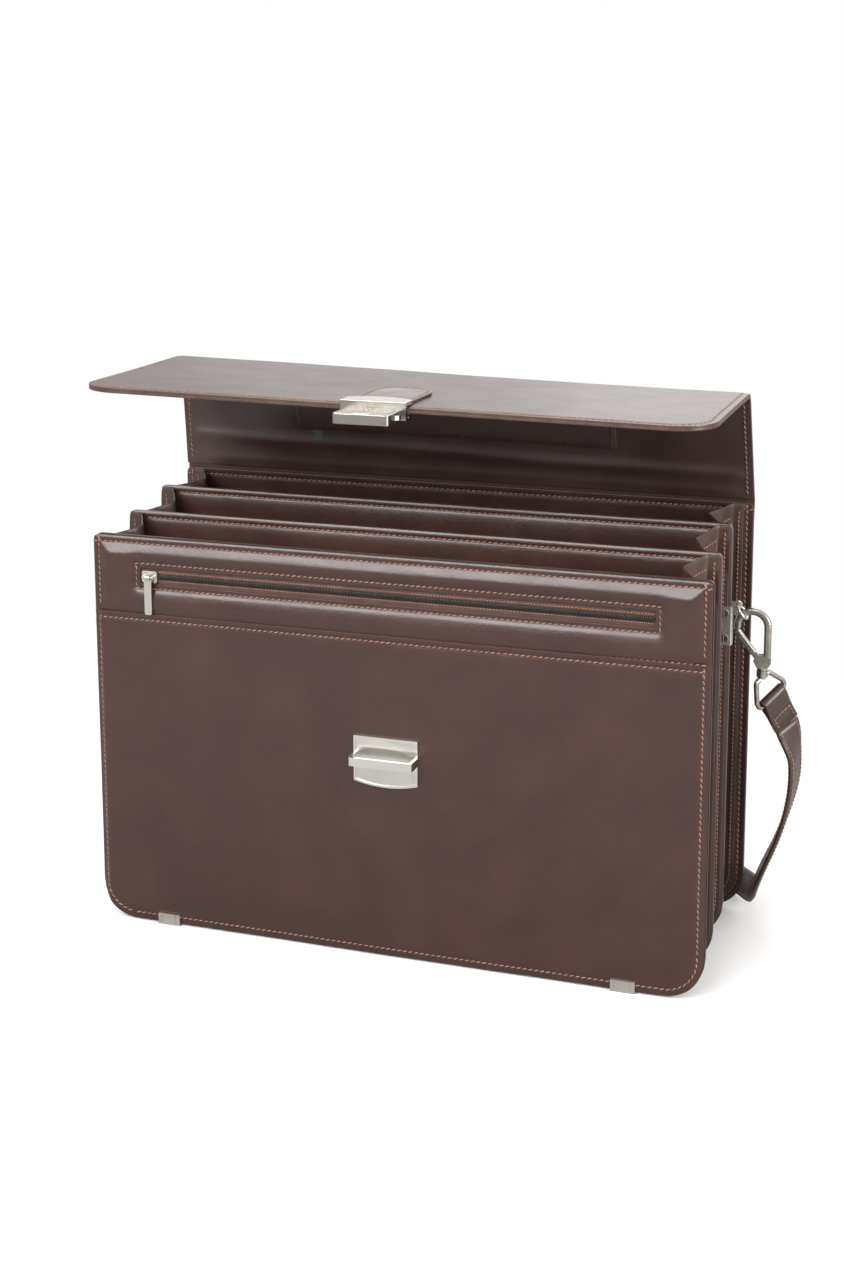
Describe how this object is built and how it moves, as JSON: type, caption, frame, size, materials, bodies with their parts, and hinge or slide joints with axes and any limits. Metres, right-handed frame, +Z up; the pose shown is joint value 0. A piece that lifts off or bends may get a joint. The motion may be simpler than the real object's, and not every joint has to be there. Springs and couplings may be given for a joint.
{
  "type": "leather briefcase",
  "caption": "Soft leather briefcase with folding gusseted compartments, a flap with a push-button lock, a zip pocket, a grip handle and a hooked shoulder strap.",
  "frame": {"origin": "on the floor, under the middle of the briefcase without its loose strap", "axes": "+Z up, +X across the briefcase to its right as seen from the front, -Y towards the front panel with the lock staple"},
  "size_m": [0.4992, 0.283, 0.3756],
  "materials": {
    "front_leather": "glossy",
    "pocket_leather": "glossy",
    "divider_leather": "satin",
    "flap_leather": "satin",
    "flap_lining": "satin",
    "gusset_leather": "satin",
    "rear_leather": "glossy",
    "inner_lining": "matte",
    "key_tab": "matte",
    "strap_leather": "satin",
    "handle_leather": "satin",
    "tongue_leather": "satin",
    "foam": "matte",
    "board": "matte",
    "pouch_fabric": "matte",
    "zip_tape": "matte",
    "zip_coil": "satin",
    "zip_metal": "satin",
    "staple_metal": "polished",
    "lock_metal": "satin",
    "lock_inner_metal": "satin",
    "clip_metal": "satin",
    "hook_metal": "satin",
    "ring_metal": "polished",
    "screw_metal": "satin",
    "spring_steel": "satin"
  },
  "bodies": {
    "rear": {"rear_leather": "rear_leather", "rear_board": "board", "rear_lining": "inner_lining", "rear_feet": "clip_metal", "gusset_front": "gusset_leather", "gusset_middle": "gusset_leather", "gusset_rear": "gusset_leather"},
    "front_panel": {"slip_pocket": "pocket_leather", "front_leather": "front_leather", "front_padding": "foam", "front_board": "board", "front_lining": "inner_lining", "zip_tape": "zip_tape", "zip_chain": "zip_coil", "zip_pouch": "pouch_fabric", "staple": "staple_metal", "staple_back_plate": "screw_metal", "front_feet": "clip_metal"},
    "zip_slider": {"zip_slider": "zip_metal"},
    "zip_puller": {"zip_puller": "zip_metal"},
    "front_divider": {"front_divider_leather": "divider_leather", "front_divider_board": "board"},
    "rear_divider": {"rear_divider_leather": "divider_leather", "rear_divider_board": "board", "strap_brackets": "clip_metal", "bracket_screws": "screw_metal", "strap_right": "strap_leather", "strap_left": "strap_leather", "strap_buckle": "hook_metal"},
    "flap_top": {"flap_top_leather": "flap_leather", "flap_top_lining": "flap_lining", "lining_patch": "flap_lining", "key_tab": "key_tab", "handle_brackets": "clip_metal", "handle_rivets": "clip_metal"},
    "handle": {"handle_grip": "handle_leather", "handle_core": "spring_steel", "handle_ends": "clip_metal"},
    "flap_front": {"flap_front_leather": "flap_leather", "flap_front_board": "board", "flap_front_lining": "flap_lining", "lock_tongue": "tongue_leather", "lock_frame": "lock_metal", "lock_rivets": "lock_metal", "lock_housing": "lock_metal", "lock_spring": "spring_steel"},
    "lock_button": {"lock_button": "lock_metal"},
    "key_cylinder": {"key_cylinder": "lock_inner_metal"},
    "lock_catch_right": {"lock_catch_right": "lock_metal"},
    "lock_catch_left": {"lock_catch_left": "lock_metal"},
    "strap_link_right": {"strap_dee_right": "hook_metal", "strap_end_right": "strap_leather"},
    "hook_right": {"strap_ring_right": "ring_metal", "strap_hook_right": "hook_metal"},
    "gate_right": {"hook_gate_right": "hook_metal"},
    "strap_link_left": {"strap_dee_left": "hook_metal", "strap_end_left": "strap_leather"},
    "hook_left": {"strap_ring_left": "ring_metal", "strap_hook_left": "hook_metal"},
    "gate_left": {"hook_gate_left": "hook_metal"}
  },
  "joints": [
    {"name": "flap_hinge", "type": "hinge", "parent": "rear", "child": "flap_top", "pos_m": [0, 0.08805, 0.2935], "axis": [1, 0, 0], "range_deg": [0, 76.2]},
    {"name": "front_slide", "type": "slide", "parent": "rear", "child": "front_panel", "axis": [0, 1, 0], "range_m": [0, 0.082], "deforming": ["gusset_front"]},
    {"name": "front_divider_slide", "type": "slide", "parent": "rear", "child": "front_divider", "axis": [0, 1, 0], "range_m": [0, 0.05706], "deforming": ["gusset_middle"]},
    {"name": "rear_divider_slide", "type": "slide", "parent": "rear", "child": "rear_divider", "axis": [0, 1, 0], "range_m": [0, 0.03], "deforming": ["gusset_rear"]},
    {"name": "flap_crease", "type": "hinge", "parent": "flap_top", "child": "flap_front", "pos_m": [0, 0.06897, 0.37119], "axis": [1, 0, 0], "range_deg": [-76.2, 13.8]},
    {"name": "handle_swing", "type": "hinge", "parent": "flap_top", "child": "handle", "pos_m": [0, 0.08919, 0.33497], "axis": [1, 0, 0], "range_deg": [0, 165]},
    {"name": "lock_button_press", "type": "slide", "parent": "flap_front", "child": "lock_button", "axis": [0, 0, -1], "range_m": [0, 0.0012], "stiffness_N_per_m": 400, "springref_m": -0.002, "deforming": ["lock_spring"]},
    {"name": "key_turn", "type": "hinge", "parent": "lock_button", "child": "key_cylinder", "pos_m": [0, -0.09123, 0.36919], "axis": [0, 0, 1], "range_deg": [0, 90]},
    {"name": "catch_right_slide", "type": "slide", "parent": "flap_front", "child": "lock_catch_right", "axis": [-1, 0, 0], "range_m": [0, 0.0028]},
    {"name": "catch_left_slide", "type": "slide", "parent": "flap_front", "child": "lock_catch_left", "axis": [1, 0, 0], "range_m": [0, 0.0028]},
    {"name": "zip_slide", "type": "slide", "parent": "front_panel", "child": "zip_slider", "axis": [1, 0, 0], "range_m": [0, 0.335]},
    {"name": "puller_swing", "type": "hinge", "parent": "zip_slider", "child": "zip_puller", "pos_m": [-0.168, -0.06475, 0.2452], "axis": [-1, 0, 0], "range_deg": [0, 170]},
    {"name": "strap_swing_right", "type": "hinge", "parent": "rear_divider", "child": "hook_right", "pos_m": [0.2094, 0.03355, 0.2334], "axis": [0, -1, 0], "range_deg": [0, 35], "deforming": ["strap_right"]},
    {"name": "dee_swivel_right", "type": "hinge", "parent": "hook_right", "child": "strap_link_right", "pos_m": [0.2266, 0.03355, 0.19], "axis": [0, 0, 1], "range_deg": [-6, 6]},
    {"name": "gate_right", "type": "hinge", "parent": "hook_right", "child": "gate_right", "pos_m": [0.2239, 0.03355, 0.1982], "axis": [0, 1, 0], "range_deg": [0, 25], "stiffness_Nm_per_rad": 0.03, "springref_deg": -22.92},
    {"name": "strap_swing_left", "type": "hinge", "parent": "rear_divider", "child": "hook_left", "pos_m": [-0.2094, 0.03355, 0.2334], "axis": [0, 1, 0], "range_deg": [0, 35], "deforming": ["strap_left"]},
    {"name": "dee_swivel_left", "type": "hinge", "parent": "hook_left", "child": "strap_link_left", "pos_m": [-0.2266, 0.03355, 0.19], "axis": [0, 0, 1], "range_deg": [-6, 6]},
    {"name": "gate_left", "type": "hinge", "parent": "hook_left", "child": "gate_left", "pos_m": [-0.2239, 0.03355, 0.1982], "axis": [0, -1, 0], "range_deg": [0, 25], "stiffness_Nm_per_rad": 0.03, "springref_deg": -22.92}
  ],
  "couplings": [
    {"joint": "front_slide", "follows": "flap_hinge", "m_per_rad": 0.061656},
    {"joint": "front_divider_slide", "follows": "flap_hinge", "m_per_rad": 0.042904},
    {"joint": "rear_divider_slide", "follows": "flap_hinge", "m_per_rad": 0.022557},
    {"joint": "catch_right_slide", "follows": "lock_button_press", "ratio": 2.3333},
    {"joint": "catch_left_slide", "follows": "lock_button_press", "ratio": 2.3333}
  ]
}
